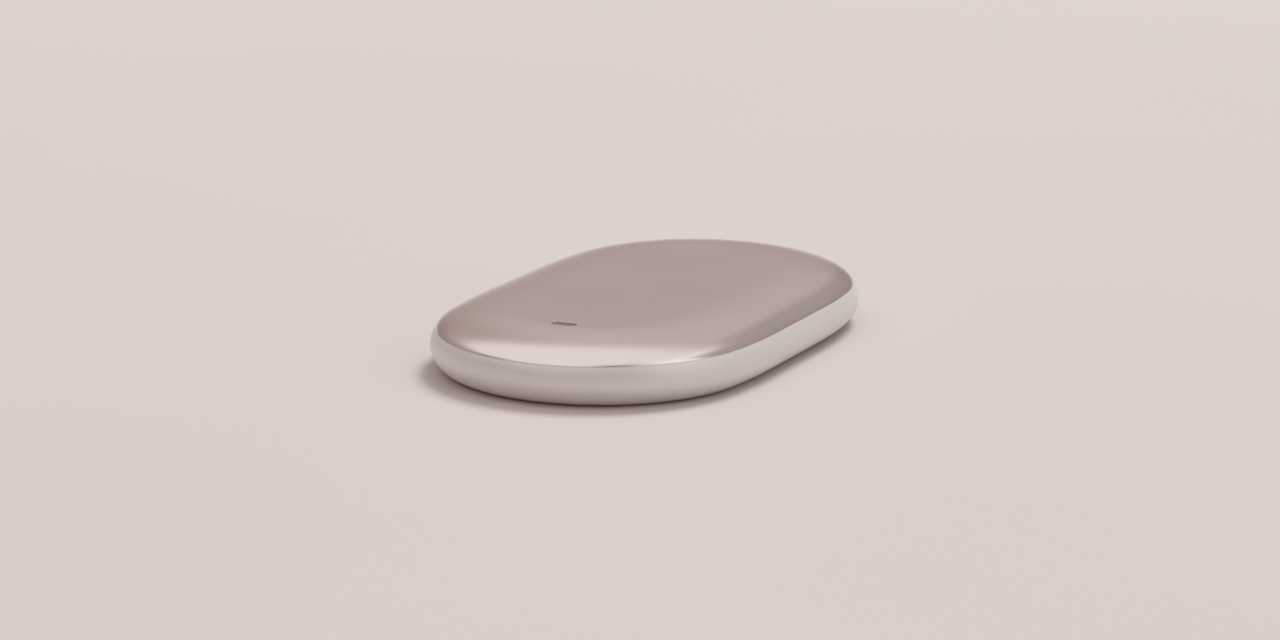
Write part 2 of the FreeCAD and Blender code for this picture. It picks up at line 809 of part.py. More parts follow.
def make_shield_can():
    length, width, height = can_size
    low = board_bottom - height
    can = block(length, width, low, board_bottom, can_x)
    can = can.makeFillet(can_rounding, upright_edges(can))
    inner = block(length - 2 * can_sheet, width - 2 * can_sheet, low + can_sheet, board_bottom, can_x)
    inner = inner.makeFillet(can_rounding - can_sheet, upright_edges(inner))
    return can.cut(inner)


def make_electronics():
    nodes["shield_can"] = make_shield_can()
    radio_low = board_bottom - radio_size[2]
    nodes["radio_chip"] = package(radio_size, can_x, 0.0, radio_low, True)
    nodes["motion_sensor"] = package(motion_size, switch_x, motion_offset, board_top, False)
    beside_can = can_size[1] / 2 + crystal_size[1]
    big = crystal(crystal_size, can_x, -beside_can)
    small = crystal(small_crystal_size, can_x + crystal_size[0] + small_crystal_size[0] / 2, -beside_can)
    nodes["crystals"] = Part.makeCompound([big, small])
    reservoir_low = board_bottom - reservoir_size[2]
    reservoir_y = can_size[1] / 2 + reservoir_size[1]
    nodes["reservoir_capacitor"] = package(reservoir_size, can_x, reservoir_y, reservoir_low, True)
    passives = []
    for sign in (-1, 1):
        for count in range(passive_count):
            x = switch_x + (count - (passive_count - 1) / 2) * passive_spacing
            passives.append(passive(x, sign * (switch_side + passive_spacing), board_top, count % 2 == 0))
    nodes["board_passives"] = Part.makeCompound(passives)


nodes["top_cover"] = make_cover()
nodes["lower_shell"] = make_shell()
nodes["perimeter_seal"] = make_perimeter_seal()
nodes["battery_hatch"] = make_hatch()
nodes["hatch_seal"] = make_hatch_seal()
nodes["hatch_pad"] = disc(cell_radius - pad_edge, hatch_top, cell_bottom, hatch_x)
cell_can, cell_gasket, cell_cap, cell_pellet = make_cell()
nodes["coin_cell_can"] = cell_can
nodes["coin_cell_gasket"] = cell_gasket
nodes["coin_cell_cap"] = cell_cap
nodes["coin_cell_pellet"] = cell_pellet
nodes["main_board"] = make_board()
nodes["board_screws"] = make_screws()
switch_base, switch_frame, switch_dome, switch_plunger = make_switch()
nodes["switch_base"] = switch_base
nodes["switch_frame"] = switch_frame
nodes["switch_dome"] = switch_dome
nodes["switch_plunger"] = switch_plunger
sounder_adhesive, sounder_plate_piece, sounder_ceramic_piece = make_sounder()
nodes["sounder_adhesive"] = sounder_adhesive
nodes["sounder_plate"] = sounder_plate_piece
nodes["sounder_ceramic"] = sounder_ceramic_piece
nodes["sounder_springs"] = make_sounder_springs()
nodes["negative_contact"] = make_negative_contact()
nodes["positive_contacts"] = make_positive_contacts()
nodes["antenna"] = make_antenna()
nodes["light_guide"] = make_light_guide()
nodes["status_lamp"] = make_lamp()
nodes["light_shield"] = make_light_shield()
make_electronics()

for name, shape in nodes.items():
    shape.exportStep("parts/" + name + ".step")
    print(name, "solids", len(shape.Solids), "valid", shape.isValid(), "volume", round(shape.Volume, 2))
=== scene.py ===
import json
import math

import bmesh
import bpy
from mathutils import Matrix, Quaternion, Vector
from mathutils.geometry import delaunay_2d_cdt


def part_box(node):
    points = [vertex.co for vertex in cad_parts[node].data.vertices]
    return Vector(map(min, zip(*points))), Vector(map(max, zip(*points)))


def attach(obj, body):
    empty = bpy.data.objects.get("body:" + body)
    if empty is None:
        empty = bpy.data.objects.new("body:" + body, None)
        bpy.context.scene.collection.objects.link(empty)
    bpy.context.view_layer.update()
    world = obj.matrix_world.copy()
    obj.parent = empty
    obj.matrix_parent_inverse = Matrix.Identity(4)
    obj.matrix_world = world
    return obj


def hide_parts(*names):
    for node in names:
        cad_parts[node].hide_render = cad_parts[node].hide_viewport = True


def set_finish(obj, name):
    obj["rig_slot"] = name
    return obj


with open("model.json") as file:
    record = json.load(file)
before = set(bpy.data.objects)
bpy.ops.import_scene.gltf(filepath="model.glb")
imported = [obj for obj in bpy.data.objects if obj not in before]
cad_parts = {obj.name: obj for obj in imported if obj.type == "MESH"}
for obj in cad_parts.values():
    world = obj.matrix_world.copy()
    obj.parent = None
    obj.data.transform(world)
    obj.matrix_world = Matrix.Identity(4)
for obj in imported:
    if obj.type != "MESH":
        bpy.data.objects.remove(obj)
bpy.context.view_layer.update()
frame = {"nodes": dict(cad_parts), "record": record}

# Item tracker tag, in metres. +X runs along the length, away from the indicator slot, +Z is up.
# An inset is a distance inwards from the widest line.
mm = 0.001

# Outer form, the same as the solids'
half_length = 29.0 * mm
half_width = 17.5 * mm
shoulder_radius = 55.0 * mm     # of the long sides' arcs
end_radius = 17.1 * mm
girth = 2.7 * mm                # height of the widest line, and radius of the full-round side
seam = 4.3 * mm
seam_gap = 0.015 * mm
seam_edge = 0.03 * mm           # rounded edge of the shell at the seam
bevel_width = 8.2 * mm          # of the roll-off
bevel_start = 8.0               # degrees of the roll-off's ellipse left out at its foot
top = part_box("top_cover")[1].z
shoulder_drop = shoulder_radius - half_width
arc_offset = math.sqrt((shoulder_radius - end_radius) ** 2 - shoulder_drop ** 2)
straight_half = half_length - end_radius - arc_offset
joint_angle = math.atan2(shoulder_drop, arc_offset)
seam_inset = girth - math.sqrt(girth ** 2 - (seam - girth) ** 2)
bevel_end = seam_inset + bevel_width
bevel_reach = bevel_width / math.cos(math.radians(bevel_start))
bevel_rise = (top - seam - seam_gap) / (1 - math.sin(math.radians(bevel_start)))

# Cover: lip, hollow and catches
cover_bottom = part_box("top_cover")[0].z
top_wall = 1.0 * mm
ceiling = top - top_wall
rim_wall = 1.2 * mm
lip_outer = 1.3 * mm
lip_inner = 1.9 * mm
knee_rise = 0.3 * mm            # upright part of the inner side over the seam
shoulder_run = 2.2 * mm         # first slope of the hollow, from the lip inwards
shoulder_fall = 0.25 * mm       # where the first slope ends, under the ceiling
knee = seam + knee_rise
hollow_shoulder = lip_inner + shoulder_run
hollow_turn = ceiling - shoulder_fall
ceiling_edge = 7.8 * mm
catch_reach = 0.22 * mm
catch_half_height = 0.25 * mm
catch_half_width = 2.0 * mm
catch_pitch = 13.0 * mm
pocket_gap = 0.12 * mm
catch_level = (cover_bottom + seam) / 2

# Cover: slot, and nub over the switch
slot_x = -20.0 * mm
slot_length = 2.7 * mm
slot_width = 1.35 * mm
slot_edge = 0.03 * mm
slot_reach = (slot_length - slot_width) / 2
slot_margin = 0.12 * mm         # ring of surface round the slot's edge
slot_clearance = 1.5 * slot_margin  # least distance from the slot's edge to a loose vertex
row_clearance = 3 * slot_margin     # least distance from the slot's edge to a swept row
slot_free = half_length + slot_x - slot_width / 2 - slot_edge - row_clearance
plunger_flange = 1.0 * mm       # radius of the plunger's foot
press_gap = 0.04 * mm
nub_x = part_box("switch_plunger")[0].x + plunger_flange
nub_radius = 0.9 * mm
nub_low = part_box("switch_plunger")[1].z + press_gap
nub_root = ceiling + seam_gap

# Shell: walls, recess and threaded collar
floor_level = 1.1 * mm
side_wall = 2.1 * mm
seal_height = 0.4 * mm
seal_shelf = cover_bottom - seal_height
hatch_x = 8.0 * mm
recess_radius = 13.35 * mm
recess_roof = 1.45 * mm
recess_edge = 0.12 * mm
ledge_inner = 11.1 * mm
pocket_radius = 12.05 * mm
collar_outer = 12.95 * mm
collar_foot = 14.15 * mm
collar_step_height = 0.6 * mm
collar_top_gap = 0.05 * mm
collar_step = recess_roof + collar_step_height
collar_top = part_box("battery_hatch")[1].z + collar_top_gap
ledge_rise = 0.65 * mm          # from the recess's roof to a ledge's top, at the middle of a lug
ledge_level = recess_roof + ledge_rise
thread_lead = 8.0 * mm
thread_starts = 3
ledge_span = 360.0 / thread_starts  # degrees from one ledge to the next
ledge_first = -22.0             # degrees from the middle of a lug
ledge_last = 13.0
stop_last = 19.0

# Shell: bosses and ribs
boss_radius = 1.6 * mm
boss_hole = 0.7 * mm            # radius of the screw's hole
boss_hole_depth = 1.8 * mm
boss_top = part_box("main_board")[0].z
boss_bottom = 1.0 * mm          # bosses and ribs start inside the shell's floor
hole_bottom = boss_top - boss_hole_depth
boss_places = [(24.5 * mm, 0.0), (-9.0 * mm, 11.0 * mm), (-9.0 * mm, -11.0 * mm)]
rib_width = 0.6 * mm
rib_height = 0.5 * mm
rib_offset = 6.2 * mm
rib_drop = 0.001 * mm           # keeps the cross rib's top under those of the long ribs

# Mesh fineness
outline_step = 0.45 * mm
edge_steps = 6
roll_off_steps = 56
side_steps = 36
slot_steps = 16
slot_edge_steps = 4
ring_steps = 180
round_steps = 48
flat_ring = 0.3 * mm            # level margin that keeps the flats' shading level
top_rings = (0.3 * mm, 0.8 * mm, 2.0 * mm, 4.5 * mm)    # inwards from the roll-off's end
edge_middle = 0.3               # place of a rounded edge's middle point, as a share of its radius
ledge_corner = 0.001            # degrees from the end of a ledge to each of its close pair
sharp_angle = 30.0              # degrees between faces at which an edge isn't smoothed
weld = 0.0005 * mm
fill_inside = 1                 # the fill keeps only what lies inside its outline
fill_tolerance = 1e-6

# Finish of the materials
fine_detail = 3.0
broad_detail = 2.0
roughness_swing = 0.08          # share by which the roughness varies
relief_depth = 0.2              # share of the grain
coat_roughness = 0.1

# Floor
floor_radius = 3.0
floor_steps = 96
floor_overlap = 0.02 * mm       # how far the floor reaches under the tag's flat underside
floor_colour = (0.668, 0.588, 0.568)
floor_shade = 0.985             # of the darker patches
floor_blotch = 0.12

# Directions in the room are a turn and a height above the horizon, in degrees. The turn runs
# anticlockwise from above: 0 is the camera's side, 90 the picture's right and 180 away from it.

# Patches of the room: the middle of each, and the closeness to it, as the cosine of an angle,
# at which it starts and is full
ceiling_way, ceiling_limits = (-100.0, 75.0), (0.64, 0.81)
front_way, front_limits = (-40.0, 48.0), (0.82, 0.95)
right_way, right_limits = (88.0, 20.0), (0.45, 0.9)
near_way, near_limits = (-35.0, 5.0), (0.25, 0.75)
edge_way, edge_limits = (77.0, -22.0), (-0.142, -0.065)
upright_way, upright_limits = (-90.0, 68.0), (0.36, 0.56)

# Bounds of the room's walls: heights as the sine of an angle, and turns with their softness
high_limits = (0.15, 0.42)
left_limits = (0.2, 0.45)
high_turn, high_soft = 8.0, 0.1
left_turn, left_soft = 195.0, 0.08
corner_turn, corner_soft = 85.0, 0.12

ceiling_colour = (0.792, 0.742, 0.738)
wall_low = (0.400, 0.329, 0.308)
wall_high = (0.510, 0.452, 0.437)
wall_right = (0.990, 0.945, 0.935)
wall_near = (0.100, 0.088, 0.084)
wall_left = (0.305, 0.234, 0.214)
wall_corner = (0.372, 0.322, 0.304)
wall_corner_low = (0.300, 0.257, 0.242)

# Window
window_way = (150.0, 56.0)
window_distance = 3.2
window_size = 1.20
window_power = 61.6             # watts
window_colour = (0.85, 0.98, 0.99)

# Camera, fitted to the photograph
focal_pixels = 3870.7
frame_pixels = 1280.0
sensor_width = 36.0
camera_distance = 412.06 * mm
camera_azimuth = math.radians(205.20)
camera_elevation = math.radians(13.43)
camera_roll = math.radians(0.289)
camera_target = Vector((8.953 * mm, 5.349 * mm, 0.0))
camera_near = 0.01
camera_far = 20.0


def outline_arcs():
    """Centre, radius and angles of the outline's six arcs, anticlockwise."""
    arcs = []
    for sign, turn in ((1, 0.0), (-1, math.pi)):
        side_x = sign * straight_half
        end_x = sign * (straight_half + arc_offset)
        drop = sign * shoulder_drop
        arcs.append((side_x, drop, shoulder_radius, turn - math.pi / 2, turn - joint_angle))
        arcs.append((end_x, 0.0, end_radius, turn - joint_angle, turn + joint_angle))
        arcs.append((side_x, -drop, shoulder_radius, turn + joint_angle, turn + math.pi / 2))
    return arcs


def outline_stations():
    """Points on the widest line and their outward directions, anticlockwise all round."""
    stations = []
    for number, (x, y, radius, start, stop) in enumerate(outline_arcs()):
        count = max(2, round((stop - start) * radius / outline_step))
        for step in range(count):
            angle = start + (stop - start) * step / count
            out = Vector((math.cos(angle), math.sin(angle)))
            stations.append((Vector((x, y)) + radius * out, out))
        if number in (2, 5):
            # A straight side follows the third arc and the last one
            sign = 1 if number == 2 else -1
            count = round(2 * straight_half / outline_step)
            for step in range(count):
                along = sign * straight_half * (1 - 2 * step / count)
                stations.append((Vector((along, sign * half_width)), Vector((0.0, sign))))
    return stations


def arc_points(centre, centre_height, across, rise, first, last, steps):
    """Points of an elliptical arc in a section; the angle is 0 outwards and a quarter turn up."""
    points = []
    for step in range(steps + 1):
        angle = first + (last - first) * step / steps
        points.append((centre - across * math.cos(angle), centre_height + rise * math.sin(angle)))
    return points


def roll_off():
    """The cover's outer cross-section, from the seam up to the flat top: part of an ellipse."""
    return arc_points(bevel_end, top - bevel_rise, bevel_reach, bevel_rise,
                      math.radians(bevel_start), math.pi / 2, roll_off_steps)


def at_catch(foot):
    """True where a catch sits: three along each side and one at each end."""
    beside = any(abs(foot.x - step * catch_pitch) <= catch_half_width for step in (-1, 0, 1))
    at_side = beside and abs(foot.y) > half_width / 2
    at_end = abs(foot.y) <= catch_half_width and abs(foot.x) > half_length / 2
    return at_side or at_end


def link_rows(bm, rows):
    """Quads between neighbouring rows of vertices, and from the last row round to the first."""
    for number, row in enumerate(rows):
        after = rows[(number + 1) % len(rows)]
        for a, b, c, d in zip(row, after, after[1:], row[1:]):
            bm.faces.new((a, b, c, d))


def sweep_outline(bm, section):
    """Carries a section of (inset, height) points round the outline; returns its two end loops."""
    rows = []
    for foot, out in outline_stations():
        rows.append([bm.verts.new((foot.x - out.x * inset, foot.y - out.y * inset, height))
                     for inset, height in section(foot)])
    link_rows(bm, rows)
    return [row[0] for row in rows], [row[-1] for row in rows]


def outside_height(x, y):
    """Height of the cover's outside at a place near the slot."""
    inset = end_radius - math.hypot(x + straight_half + arc_offset, y)
    short = max(0.0, bevel_end - inset) / bevel_reach
    return top - bevel_rise * (1 - math.sqrt(1 - short ** 2))


def slot_loop(grow, drop):
    """Outline of the slot, drawn out by grow and sunk by drop below the cover's outside."""
    radius = slot_width / 2 + grow
    points = []
    for sign, first in ((1, 0.0), (-1, math.pi)):
        for step in range(slot_steps + 1):
            angle = first + math.pi * step / slot_steps
            x = slot_x + radius * math.cos(angle)
            y = sign * slot_reach + radius * math.sin(angle)
            points.append(Vector((x, y, outside_height(x, y) - drop)))
    return points


def clear_of_slot(x, y):
    """True for a place outside the slot's edge and margin."""
    away = math.hypot(x - slot_x, max(0.0, abs(y) - slot_reach))
    return away > slot_width / 2 + slot_edge + slot_clearance


def fill_flat(bm, loops, loose=()):
    """Triangles between an outer loop, the convex loops of its holes and loose vertices."""
    verts = [vert for loop in loops for vert in loop]
    owners = [number for number, loop in enumerate(loops) for vert in loop] + [0] * len(loose)
    edges = []
    for number, loop in enumerate(loops):
        first = owners.index(number)
        edges += [(first + step, first + (step + 1) % len(loop)) for step in range(len(loop))]
    verts += loose
    places = [vert.co.xy / mm for vert in verts]
    found = delaunay_2d_cdt(places, edges, [], fill_inside, fill_tolerance)
    for triangle in found[2]:
        corners = [found[3][corner][0] for corner in triangle]
        holes = {owners[corner] for corner in corners}
        # A triangle whose corners all lie on one hole's loop lies in that hole
        if len(holes) > 1 or 0 in holes:
            bm.faces.new([verts[corner] for corner in corners])


def stack_loops(bm, loops):
    """Walls through a stack of closed loops with equal counts; returns their vertices."""
    rings = [[bm.verts.new(point) for point in loop] for loop in loops]
    for low, high in zip(rings, rings[1:]):
        for number in range(len(low)):
            after = (number + 1) % len(low)
            bm.faces.new((low[number], low[after], high[after], high[number]))
    return rings


def finish_mesh(bm, name, body, slot_name, nodes):
    """Turns a bmesh into a piece that rides on a body and stands for its nodes."""
    bmesh.ops.remove_doubles(bm, verts=bm.verts, dist=weld)
    bmesh.ops.dissolve_degenerate(bm, edges=bm.edges, dist=weld)
    bmesh.ops.recalc_face_normals(bm, faces=bm.faces)
    for face in bm.faces:
        face.smooth = True
    limit = math.radians(sharp_angle)
    for edge in bm.edges:
        edge.smooth = edge.calc_face_angle(0.0) < limit
    mesh = bpy.data.meshes.new(name)
    bm.to_mesh(mesh)
    bm.free()
    piece = bpy.data.objects.new(name, mesh)
    bpy.context.scene.collection.objects.link(piece)
    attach(piece, body)
    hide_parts(*nodes)
    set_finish(piece, slot_name)
    return piece


def add_turned(bm, profile, x, y):
    """Closed piece of revolution about an upright axis, from (radius, height) corners."""
    rows = []
    for step in range(round_steps):
        turn = math.tau * step / round_steps
        rows.append([bm.verts.new((x + r * math.cos(turn), y + r * math.sin(turn), z))
                     for r, z in profile])
    link_rows(bm, rows)


def add_block(bm, length, width, low, high, x, y):
    """Block between two heights, centred on a place."""
    corners = bmesh.ops.create_cube(bm, size=1.0)["verts"]
    bmesh.ops.scale(bm, vec=(length, width, high - low), verts=corners)
    bmesh.ops.translate(bm, vec=(x, y, (low + high) / 2), verts=corners)


def build_cover():
    """Cover with its roll-off, slot, lip, catches, hollow underside and nub."""
    bm = bmesh.new()
    rolled = roll_off()
    outside = [point for point in rolled if point[0] < slot_free][::-1]
    hollow = [(lip_inner, cover_bottom), (lip_inner, knee), (hollow_shoulder, hollow_turn),
              (ceiling_edge, ceiling), (ceiling_edge + flat_ring, ceiling)]

    def section(foot):
        tip = lip_outer - catch_reach if at_catch(foot) else lip_outer
        lip = [(lip_outer, seam + seam_gap), (lip_outer, catch_level + catch_half_height),
               (tip, catch_level), (lip_outer, catch_level - catch_half_height),
               (lip_outer, cover_bottom)]
        return outside + lip + hollow

    top_loop, ceiling_loop = sweep_outline(bm, section)
    walls = [slot_loop(slot_edge + slot_margin, 0.0), slot_loop(slot_edge, 0.0)]
    for step in range(1, slot_edge_steps + 1):
        turn = math.pi / 2 * step / slot_edge_steps
        walls.append(slot_loop(slot_edge * (1 - math.sin(turn)), slot_edge * (1 - math.cos(turn))))
    walls.append(slot_loop(0.0, top - ceiling))
    rings = stack_loops(bm, walls)
    level = [point for point in rolled if point[0] >= slot_free]
    level += [(bevel_end + ring, top) for ring in top_rings]
    loose = []
    for foot, out in outline_stations():
        for inset, height in level:
            x, y = foot - out * inset
            if clear_of_slot(x, y):
                loose.append(bm.verts.new((x, y, height)))
    fill_flat(bm, [top_loop, rings[0]], loose)
    fill_flat(bm, [ceiling_loop, rings[-1]])
    add_turned(bm, [(0.0, nub_low), (nub_radius, nub_low), (nub_radius, nub_root),
                    (0.0, nub_root)], nub_x, 0.0)
    return finish_mesh(bm, "cover_shell", "housing", "cover_finish", ["top_cover"])


def collar_section(angle):
    """The collar's cross-section at an angle, with the ledge or stop that lies there, if any."""
    beside = (angle - ledge_first) % ledge_span + ledge_first
    inner, high = pocket_radius, recess_roof
    if ledge_first <= beside < ledge_last:
        inner, high = ledge_inner, ledge_level + thread_lead * beside / 360.0
    elif ledge_last <= beside < stop_last:
        inner, high = ledge_inner, collar_top
    middle = edge_middle * recess_edge
    return [(recess_radius + recess_edge + flat_ring, 0.0), (recess_radius + recess_edge, 0.0),
            (recess_radius + middle, middle), (recess_radius, recess_edge),
            (recess_radius, recess_roof), (inner, recess_roof), (inner, high),
            (pocket_radius, high), (pocket_radius, collar_top), (collar_outer, collar_top),
            (collar_outer, collar_step), (collar_foot, collar_step), (collar_foot, floor_level)]


def collar_angles():
    """Angles all round, with a close pair at each end of a ledge or stop."""
    angles = [360.0 * step / ring_steps for step in range(ring_steps)]
    for start in range(thread_starts):
        for change in (ledge_first, ledge_last, stop_last):
            place = (start * ledge_span + change) % 360.0
            angles += [place - ledge_corner, place + ledge_corner]
    return sorted(angles)


def build_shell():
    """Tray with a full-round side, pockets in its rim, and the hatch's recess and collar."""
    bm = bmesh.new()
    edge_angle = math.asin((seam - seam_edge - girth) / girth)
    side = arc_points(girth, girth, girth, girth, -math.pi / 2, edge_angle, side_steps)
    edge = arc_points(side[-1][0] + seam_edge, seam - seam_edge, seam_edge, seam_edge,
                      0.0, math.pi / 2, edge_steps)
    outside = [(girth + flat_ring, 0.0)] + side + edge[1:]
    pocket_low = catch_level - catch_half_height - pocket_gap
    pocket_high = catch_level + catch_half_height + pocket_gap
    inside = [(rim_wall, seal_shelf), (side_wall, seal_shelf),
              (side_wall, floor_level), (side_wall + flat_ring, floor_level)]

    def section(foot):
        deep = rim_wall - catch_reach if at_catch(foot) else rim_wall
        rim = [(rim_wall, seam), (rim_wall, pocket_high), (deep, pocket_high), (deep, pocket_low),
               (rim_wall, pocket_low)]
        return outside + rim + inside

    under_loop, floor_loop = sweep_outline(bm, section)
    rows = []
    for angle in collar_angles():
        turn = math.radians(angle)
        rows.append([bm.verts.new((hatch_x + r * math.cos(turn), r * math.sin(turn), z))
                     for r, z in collar_section(angle)])
    link_rows(bm, rows)
    fill_flat(bm, [under_loop, [row[0] for row in rows]])
    fill_flat(bm, [floor_loop, [row[-1] for row in rows]])
    for x, y in boss_places:
        add_turned(bm, [(0.0, boss_bottom), (boss_radius, boss_bottom), (boss_radius, boss_top),
                        (boss_hole, boss_top), (boss_hole, hole_bottom), (0.0, hole_bottom)], x, y)
    rib_top = floor_level + rib_height
    rib_end = hatch_x - collar_foot
    rib_start = slot_x - rib_width
    for sign in (-1, 1):
        add_block(bm, rib_end - rib_start, rib_width, boss_bottom, rib_top,
                  (rib_start + rib_end) / 2, sign * rib_offset)
    add_block(bm, rib_width, 2 * rib_offset, boss_bottom, rib_top - rib_drop, slot_x, 0.0)
    return finish_mesh(bm, "base_shell", "housing", "shell_finish", ["lower_shell"])


class Nodes:
    """A node tree with short calls for the nodes that the materials need."""

    def __init__(self, tree):
        self.tree = tree
        tree.nodes.clear()

    def add(self, kind, **inputs):
        """A new node with its inputs set or linked; an underscore stands for a space."""
        node = self.tree.nodes.new(kind)
        for name, value in inputs.items():
            self.feed(node, name.replace("_", " "), value)
        return node

    def feed(self, node, name, value):
        """Links an input to a socket, or sets it to a value."""
        socket = node.inputs[name]
        if isinstance(value, bpy.types.NodeSocket):
            self.tree.links.new(value, socket)
        else:
            socket.default_value = value

    def noise(self, place, grain, detail):
        """Noise whose blotches are about grain across."""
        node = self.add("ShaderNodeTexNoise", Vector=place, Scale=1.0 / grain, Detail=detail)
        return node.outputs["Fac"]

    def spread(self, value, low, high, start=0.3, stop=0.7):
        """A value that runs from low to high as the input runs from start to stop."""
        node = self.add("ShaderNodeMapRange", Value=value)
        node.interpolation_type = "SMOOTHSTEP"
        for name, number in (("From Min", start), ("From Max", stop),
                             ("To Min", low), ("To Max", high)):
            self.feed(node, name, number)
        return node.outputs["Result"]

    def times(self, first, second):
        """The product of two values."""
        node = self.tree.nodes.new("ShaderNodeMath")
        node.operation = "MULTIPLY"
        self.tree.links.new(first, node.inputs[0])
        self.tree.links.new(second, node.inputs[1])
        return node.outputs["Value"]

    def blend(self, share, first, second):
        """A colour that runs from the first to the second as the share runs from 0 to 1."""
        node = self.tree.nodes.new("ShaderNodeMix")
        node.data_type = "RGBA"
        self.feed(node, "Factor", share)
        for name, colour in (("A", first), ("B", second)):
            sockets = [socket for socket in node.inputs
                       if socket.name == name and socket.type == "RGBA"]
            if isinstance(colour, bpy.types.NodeSocket):
                self.tree.links.new(colour, sockets[0])
            else:
                sockets[0].default_value = (*colour, 1.0)
        return [socket for socket in node.outputs if socket.type == "RGBA"][0]


def surface(name, colour, metallic=0.0, roughness=0.5, grain=0.1 * mm, bump=0.1, tone=0.06,
            blotch=3.0 * mm, coat=0.0):
    """Principled material with fine grain, slow tone changes and uneven roughness."""
    material = bpy.data.materials.new(name)
    material.use_nodes = True
    make = Nodes(material.node_tree)
    place = make.tree.nodes.new("ShaderNodeTexCoord").outputs["Object"]
    darker = tuple(channel * (1 - tone) for channel in colour)
    lighter = tuple(min(1.0, channel * (1 + tone)) for channel in colour)
    fine = make.noise(place, grain, fine_detail)
    broad = make.noise(place, blotch, broad_detail)
    shader = make.add("ShaderNodeBsdfPrincipled", Metallic=metallic)
    make.feed(shader, "Base Color", make.blend(make.spread(broad, 0.0, 1.0), darker, lighter))
    make.feed(shader, "Roughness", make.spread(fine, roughness * (1 - roughness_swing),
                                               roughness * (1 + roughness_swing)))
    shader.inputs["Coat Weight"].default_value = coat
    shader.inputs["Coat Roughness"].default_value = coat_roughness
    relief = make.add("ShaderNodeBump", Strength=bump, Distance=grain * relief_depth, Height=fine)
    make.feed(shader, "Normal", relief.outputs["Normal"])
    make.add("ShaderNodeOutputMaterial", Surface=shader.outputs["BSDF"])
    return material


def make_materials():
    """The materials by the record's slot names."""
    return {
        "cover_finish": surface("satin_cover", (0.928, 0.856, 0.834), metallic=1.0,
                                roughness=0.22, grain=0.08 * mm, bump=0.03, tone=0.012,
                                blotch=9.0 * mm),
        "shell_finish": surface("satin_shell", (0.82, 0.784, 0.777), metallic=0.25,
                                roughness=0.42, grain=0.08 * mm, bump=0.04, tone=0.012,
                                blotch=9.0 * mm),
        "seal_rubber": surface("seal_rubber", (0.035, 0.036, 0.04), roughness=0.62,
                               grain=0.15 * mm),
        "foam": surface("dark_foam", (0.05, 0.05, 0.055), roughness=0.9, grain=0.12 * mm,
                        bump=0.7),
        "cell_steel": surface("cell_steel", (0.72, 0.72, 0.71), metallic=1.0, roughness=0.24,
                              grain=0.06 * mm, bump=0.05, tone=0.03),
        "cell_gasket": surface("cell_gasket", (0.10, 0.11, 0.13), roughness=0.5),
        "cell_mix": surface("cell_mix", (0.06, 0.06, 0.06), roughness=0.8, bump=0.4),
        "board_resin": surface("board_resin", (0.02, 0.075, 0.045), roughness=0.36,
                               grain=0.2 * mm, tone=0.15, blotch=1.4 * mm, coat=0.5),
        "screw_steel": surface("screw_steel", (0.56, 0.55, 0.53), metallic=1.0, roughness=0.32),
        "switch_plastic": surface("switch_plastic", (0.06, 0.06, 0.065), roughness=0.5),
        "contact_steel": surface("contact_steel", (0.74, 0.73, 0.70), metallic=1.0,
                                 roughness=0.25),
        "plunger_plastic": surface("plunger_plastic", (0.60, 0.58, 0.52), roughness=0.45),
        "sounder_brass": surface("sounder_brass", (0.78, 0.60, 0.30), metallic=1.0,
                                 roughness=0.3),
        "sounder_ceramic": surface("sounder_ceramic", (0.72, 0.70, 0.64), metallic=0.3,
                                   roughness=0.45),
        "spring_bronze": surface("spring_bronze", (0.80, 0.62, 0.34), metallic=1.0,
                                 roughness=0.28),
        "guide_plastic": surface("guide_plastic", (0.22, 0.15, 0.135), roughness=0.6,
                                 grain=0.1 * mm, bump=0.05),
        "lamp_resin": surface("lamp_resin", (0.80, 0.76, 0.60), roughness=0.25, coat=0.4),
        "chip_resin": surface("chip_resin", (0.03, 0.03, 0.032), roughness=0.55,
                              grain=0.06 * mm, bump=0.3),
        "capacitor_resin": surface("capacitor_resin", (0.55, 0.36, 0.10), roughness=0.45),
        "passive_ceramic": surface("passive_ceramic", (0.34, 0.25, 0.18), roughness=0.45),
    }


def dress_nodes(materials, pieces):
    """Gives every carried-over node and every new piece the material of its slot."""
    for part in frame["record"]["subparts"]:
        if part["node"] in frame["nodes"]:
            mesh = frame["nodes"][part["node"]].data
            mesh.materials.clear()
            mesh.materials.append(materials[part["material_slot"]])
    for piece in pieces:
        piece.data.materials.append(materials[piece["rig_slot"]])


def floor_material():
    """Matt and slightly uneven from above, and clear from below."""
    material = bpy.data.materials.new("floor_finish")
    material.use_nodes = True
    make = Nodes(material.node_tree)
    place = make.tree.nodes.new("ShaderNodeTexCoord").outputs["Object"]
    broad = make.spread(make.noise(place, floor_blotch, broad_detail), 0.0, 1.0)
    darker = tuple(channel * floor_shade for channel in floor_colour)
    colour = make.blend(broad, floor_colour, darker)
    matt = make.add("ShaderNodeBsdfDiffuse", Color=colour)
    clear = make.add("ShaderNodeBsdfTransparent")
    behind = make.tree.nodes.new("ShaderNodeNewGeometry").outputs["Backfacing"]
    mixed = make.tree.nodes.new("ShaderNodeMixShader")
    make.tree.links.new(behind, mixed.inputs[0])
    make.tree.links.new(matt.outputs[0], mixed.inputs[1])
    make.tree.links.new(clear.outputs[0], mixed.inputs[2])
    make.add("ShaderNodeOutputMaterial", Surface=mixed.outputs[0])
    return material


